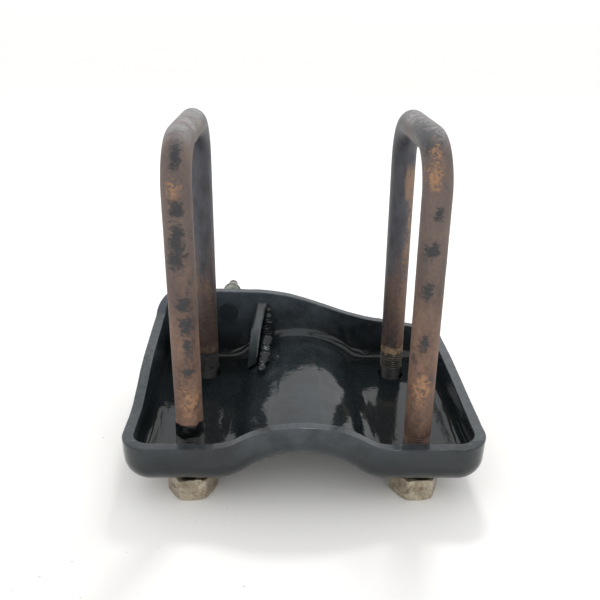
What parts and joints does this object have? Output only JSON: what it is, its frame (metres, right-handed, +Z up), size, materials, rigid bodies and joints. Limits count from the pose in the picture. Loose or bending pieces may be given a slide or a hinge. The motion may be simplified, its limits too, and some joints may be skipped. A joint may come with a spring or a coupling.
{
  "type": "u-bolt",
  "caption": "Square-bend U-bolts through a black pan-shaped leaf-spring plate with an arch, hex nuts below, a gusset and a shock-absorber stud on the high back flange.",
  "frame": {"origin": "middle of the overall box, on the surface the nuts stand on", "axes": "+X to the viewer's right along the plate's long side, +Y to the high back flange that carries the stud, +Z up along the bolts' legs"},
  "size_m": [0.1904, 0.188, 0.1934],
  "materials": {
    "plate_paint": "thick glossy black paint with runs and scuffs",
    "rib_paint": "glossy black paint, worn grey on the front edge",
    "weld_paint": "glossy black paint over a lumpy bead",
    "stud_steel": "dull grey-green oxidised steel, black overspray at the root",
    "bolt_rust_left": "brown rust with black mill-scale patches, dusty top bend",
    "bolt_rust_right": "brown rust with black mill-scale patches, dusty top bend",
    "nut_front_left_zinc": "tarnished yellow-brown zinc, greasy",
    "nut_back_left_zinc": "tarnished yellow-brown zinc, greasy",
    "nut_front_right_zinc": "tarnished yellow-brown zinc, greasy",
    "nut_back_right_zinc": "tarnished yellow-brown zinc, greasy"
  },
  "bodies": {
    "plate": {"spring_plate": "plate_paint", "gusset_rib": "rib_paint", "gusset_weld": "weld_paint", "shock_stud": "stud_steel"},
    "u_bolt_left": {"u_bolt_left": "bolt_rust_left"},
    "u_bolt_right": {"u_bolt_right": "bolt_rust_right"},
    "nut_front_left": {"nut_front_left": "nut_front_left_zinc"},
    "nut_back_left": {"nut_back_left": "nut_back_left_zinc"},
    "nut_front_right": {"nut_front_right": "nut_front_right_zinc"},
    "nut_back_right": {"nut_back_right": "nut_back_right_zinc"}
  },
  "joints": [
    {"name": "nut_front_left_turn", "type": "hinge", "parent": "plate", "child": "nut_front_left", "pos_m": [-0.06018, -0.07475, 0.0068], "axis": [0, 0, 1], "range_deg": [-2550, 3570]},
    {"name": "nut_back_left_turn", "type": "hinge", "parent": "plate", "child": "nut_back_left", "pos_m": [-0.06018, 0.01575, 0.0068], "axis": [0, 0, 1], "range_deg": [-2550, 3570]},
    {"name": "u_bolt_left_slide", "type": "slide", "parent": "plate", "child": "u_bolt_left", "axis": [-0.007, 0, 1], "range_m": [-0.0139, 0.0099]},
    {"name": "nut_front_right_turn", "type": "hinge", "parent": "plate", "child": "nut_front_right", "pos_m": [0.06045, -0.07475, 0.0068], "axis": [0, 0, 1], "range_deg": [-2550, 3570]},
    {"name": "nut_back_right_turn", "type": "hinge", "parent": "plate", "child": "nut_back_right", "pos_m": [0.06045, 0.01575, 0.0068], "axis": [0, 0, 1], "range_deg": [-2550, 3570]},
    {"name": "u_bolt_right_slide", "type": "slide", "parent": "plate", "child": "u_bolt_right", "axis": [-0.0192, 0, 0.9998], "range_m": [-0.0139, 0.0099]}
  ],
  "couplings": [
    {"joint": "nut_front_left_turn", "follows": "u_bolt_left_slide", "rad_per_m": -4453},
    {"joint": "nut_back_left_turn", "follows": "u_bolt_left_slide", "rad_per_m": -4453},
    {"joint": "nut_front_right_turn", "follows": "u_bolt_right_slide", "rad_per_m": -4453},
    {"joint": "nut_back_right_turn", "follows": "u_bolt_right_slide", "rad_per_m": -4453}
  ]
}
